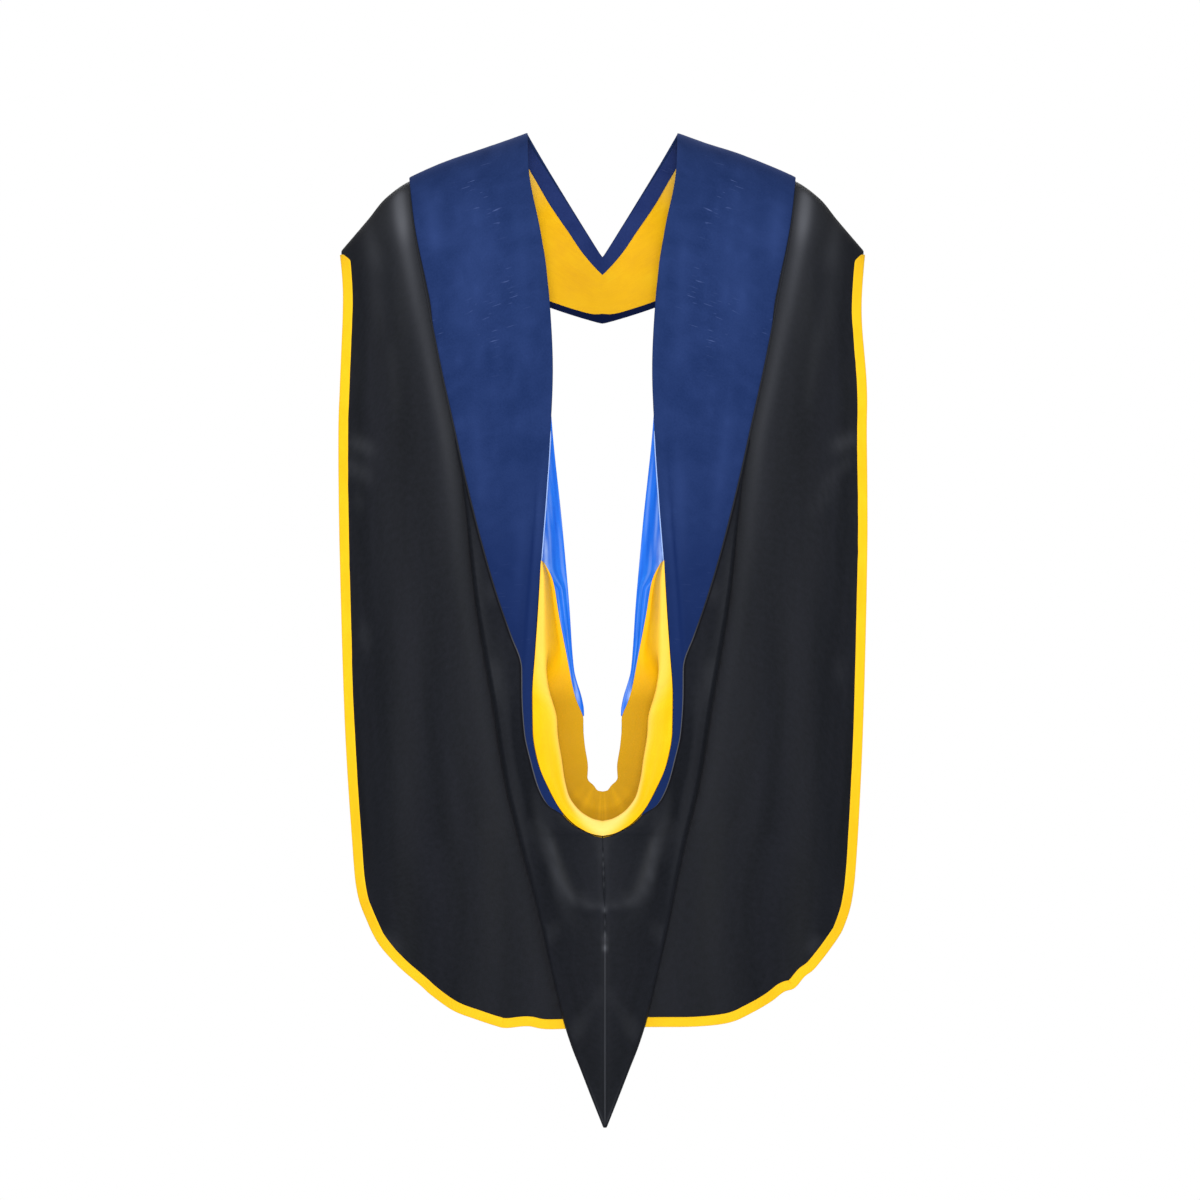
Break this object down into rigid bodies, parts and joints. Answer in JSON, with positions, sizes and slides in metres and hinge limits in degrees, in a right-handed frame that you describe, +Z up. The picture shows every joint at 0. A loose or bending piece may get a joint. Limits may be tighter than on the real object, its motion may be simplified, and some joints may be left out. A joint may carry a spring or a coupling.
{
  "type": "academic hood",
  "caption": "Worn doctoral hood: black cape panels with yellow piping, navy velvet facing, blue chevron and gold satin lining in an open bag ending in a pointed tail.",
  "frame": {"origin": "midway between the two neck points, at the top of the shoulder ridge, where the hood sits on its wearer's neck", "axes": "+Z up, +X to the wearer's right, +Y towards the wearer's front, so the bag and the tail face -Y"},
  "size_m": [0.5965, 0.2503, 1.1124],
  "materials": {
    "black_cloth": "soft black cloth with a faint satin sheen",
    "yellow_piping": "bright yellow flat binding",
    "navy_velvet": "matte navy velvet with a short nap",
    "navy_trim": "turned-in navy edge with rows of stitching",
    "gold_satin": "gold satin",
    "blue_satin": "bright blue satin"
  },
  "bodies": {
    "root": {"left_cape_panel": "black_cloth", "right_cape_panel": "black_cloth", "left_cowl_shell": "black_cloth", "right_cowl_shell": "black_cloth", "left_edge_piping": "yellow_piping", "right_edge_piping": "yellow_piping", "left_velvet_facing": "navy_velvet", "right_velvet_facing": "navy_velvet", "neckband_top_trim": "navy_trim", "neckband_bottom_trim": "navy_trim", "neckband_lining": "gold_satin", "lining_gold": "gold_satin", "left_lining_blue": "blue_satin", "right_lining_blue": "blue_satin"}
  },
  "joints": []
}
